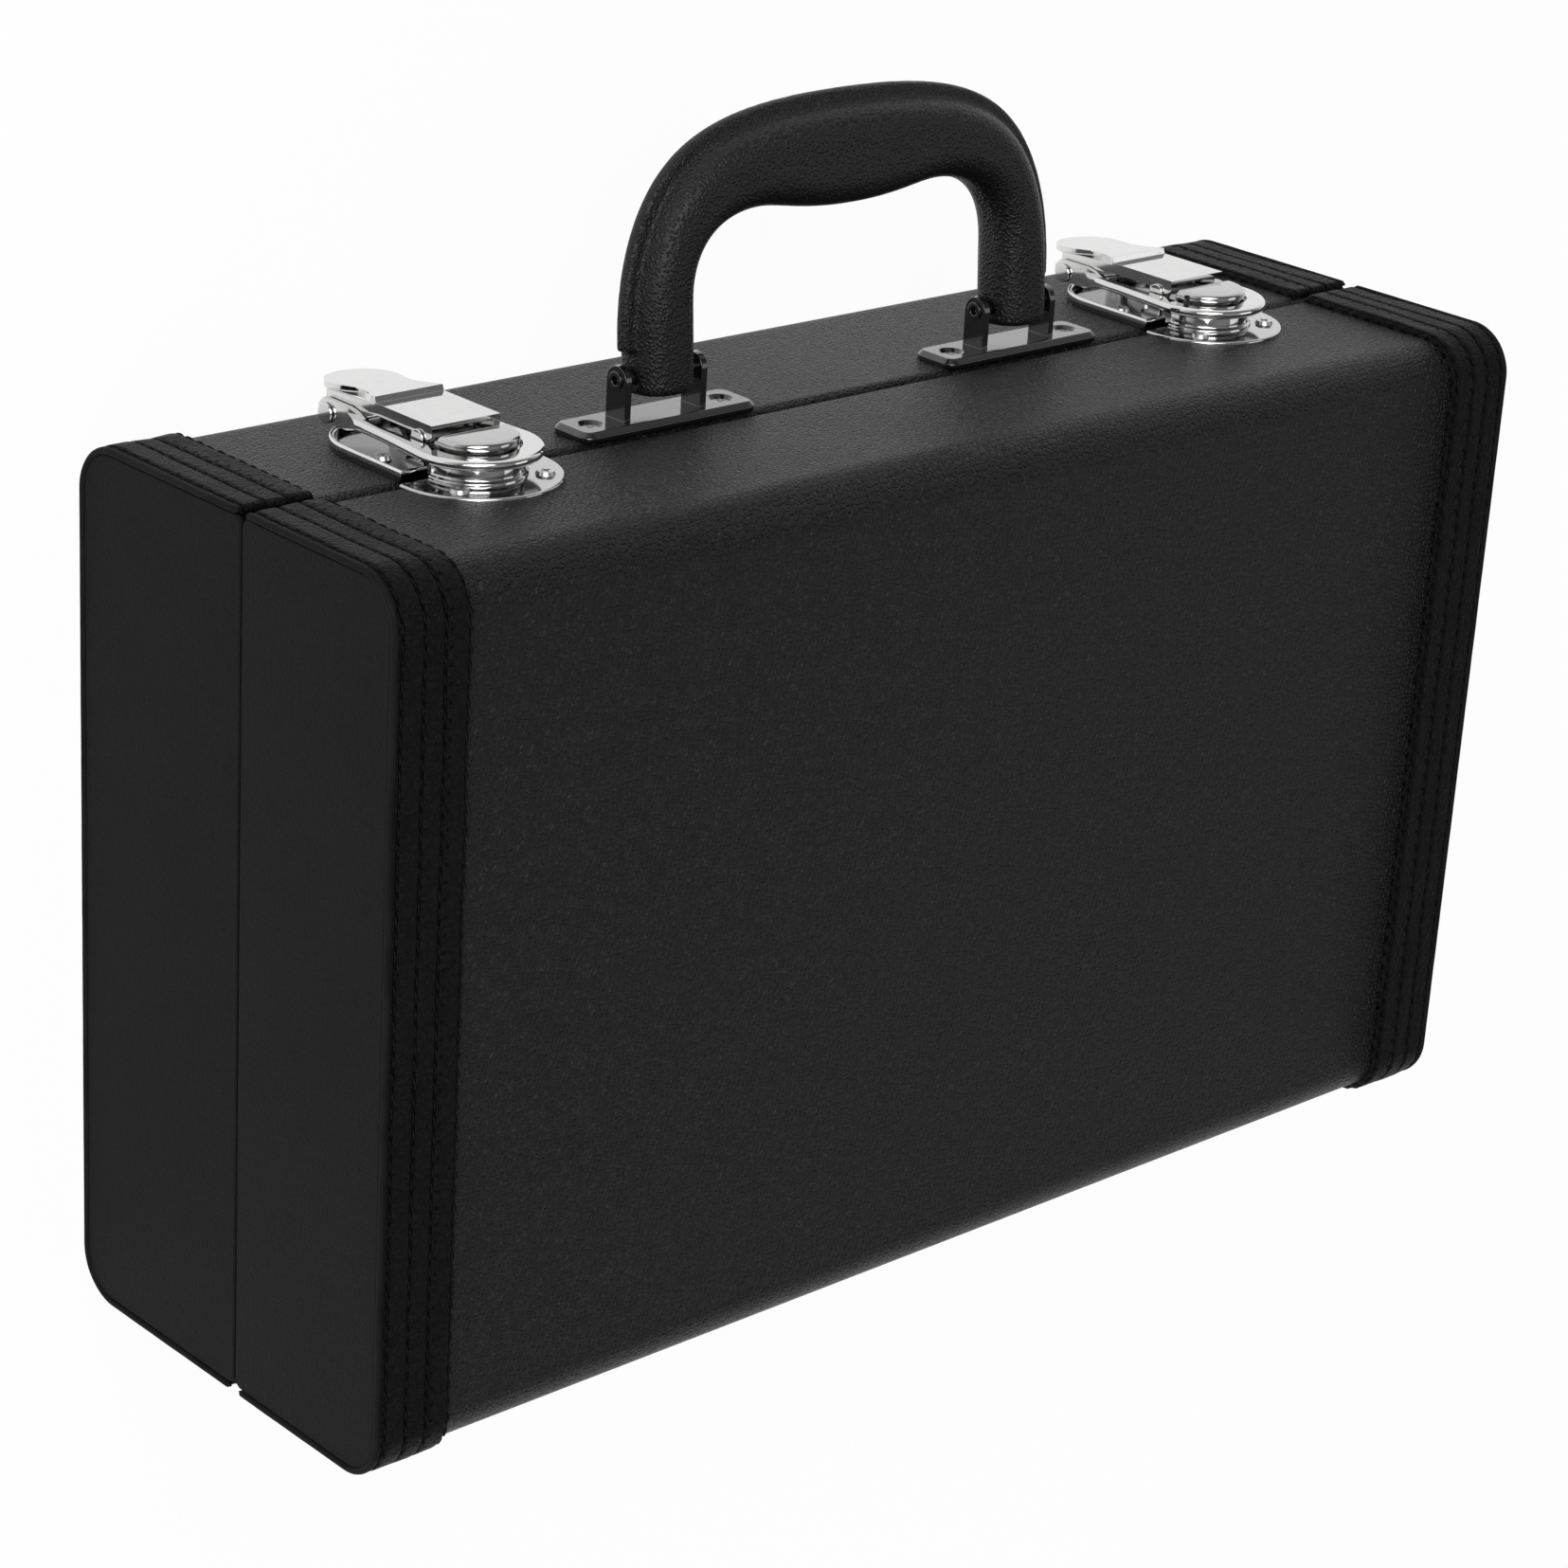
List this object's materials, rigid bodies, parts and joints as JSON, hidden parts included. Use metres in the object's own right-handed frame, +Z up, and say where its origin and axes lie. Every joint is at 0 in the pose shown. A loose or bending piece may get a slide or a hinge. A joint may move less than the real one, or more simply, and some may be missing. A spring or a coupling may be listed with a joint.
{
  "type": "clarinet case",
  "caption": "Hard rectangular clarinet case, black covering with stitched end bands, two drawbolt latches, a moulded carry handle and a fitted plush interior.",
  "frame": {"origin": "on the floor under the middle of the whole outline, with the case lying shut on its back panel", "axes": "+X along the case, -Y out of the handle and latch side, +Y out of the hinge side, +Z up from the base to the lid"},
  "size_m": [0.342, 0.2737, 0.112],
  "materials": {
    "leatherette": "black embossed leatherette, semi-matte",
    "band_leatherette": "black padded leatherette with coarser wrinkles and black stitching",
    "piping": "black piping cord",
    "plywood": "birch plywood, hidden under the covering",
    "plush": "black short-pile plush over foam",
    "chrome": "bright nickel plate",
    "hinge_steel": "nickel-plated steel",
    "black_steel": "gloss black",
    "handle_plastic": "black moulded plastic with fine pebble grain",
    "screw_steel": "nickel-plated"
  },
  "bodies": {
    "base": {"base_band_left": "band_leatherette", "base_band_right": "band_leatherette", "base_cover": "leatherette", "base_end_board_left": "plywood", "base_end_board_right": "plywood", "base_end_skin_left": "leatherette", "base_end_skin_right": "leatherette", "base_piping_left": "piping", "base_piping_right": "piping", "base_shell": "plywood", "handle_bracket_left": "black_steel", "handle_bracket_right": "black_steel", "handle_pin_left": "screw_steel", "handle_pin_right": "screw_steel", "handle_screws": "screw_steel", "hinge_leaf_base_left": "hinge_steel", "hinge_leaf_base_right": "hinge_steel", "hinge_pin_left": "hinge_steel", "hinge_pin_right": "hinge_steel", "hinge_screws_base": "screw_steel", "insert_cross_dividers": "plush", "insert_end_strips": "plush", "insert_floor": "plush", "insert_long_dividers": "plush", "insert_side_strips": "plush", "latch_pivot_pin_left": "chrome", "latch_pivot_pin_right": "chrome", "latch_screws": "screw_steel", "latch_tray_left": "chrome", "latch_tray_right": "chrome"},
    "lid": {"hinge_leaf_lid_left": "hinge_steel", "hinge_leaf_lid_right": "hinge_steel", "hinge_screws_lid": "screw_steel", "keeper_left": "chrome", "keeper_right": "chrome", "keeper_screws": "screw_steel", "lid_band_left": "band_leatherette", "lid_band_right": "band_leatherette", "lid_cover": "leatherette", "lid_end_board_left": "plywood", "lid_end_board_right": "plywood", "lid_end_skin_left": "leatherette", "lid_end_skin_right": "leatherette", "lid_end_strips": "plush", "lid_pad": "plush", "lid_piping_left": "piping", "lid_piping_right": "piping", "lid_shell": "plywood", "lid_side_strips": "plush"},
    "lever_left": {"latch_lever_left": "chrome", "latch_rivets_left": "chrome"},
    "bail_left": {"latch_bail_left": "chrome"},
    "lever_right": {"latch_lever_right": "chrome", "latch_rivets_right": "chrome"},
    "bail_right": {"latch_bail_right": "chrome"},
    "handle": {"handle_grip": "handle_plastic"}
  },
  "joints": [
    {"name": "lid_hinge", "type": "hinge", "parent": "base", "child": "lid", "pos_m": [0, 0.13463, 0.0595], "axis": [-1, 0, 0], "range_deg": [0, 180]},
    {"name": "handle_swing", "type": "hinge", "parent": "base", "child": "handle", "pos_m": [0, -0.07977, 0.0527], "axis": [-1, 0, 0], "range_deg": [-80, 85]},
    {"name": "lever_lift_left", "type": "hinge", "parent": "base", "child": "lever_left", "pos_m": [0.1127, -0.07627, 0.0545], "axis": [-1, 0, 0], "range_deg": [0, 100]},
    {"name": "bail_turn_left", "type": "hinge", "parent": "lever_left", "child": "bail_left", "pos_m": [0.1127, -0.07417, 0.0243], "axis": [-1, 0, 0], "range_deg": [-60, 0]},
    {"name": "lever_lift_right", "type": "hinge", "parent": "base", "child": "lever_right", "pos_m": [-0.1127, -0.07627, 0.0545], "axis": [-1, 0, 0], "range_deg": [0, 100]},
    {"name": "bail_turn_right", "type": "hinge", "parent": "lever_right", "child": "bail_right", "pos_m": [-0.1127, -0.07417, 0.0243], "axis": [-1, 0, 0], "range_deg": [-60, 0]}
  ],
  "couplings": [
    {"joint": "bail_turn_left", "follows": "lever_lift_left", "ratio": -0.6},
    {"joint": "bail_turn_right", "follows": "lever_lift_right", "ratio": -0.6}
  ]
}
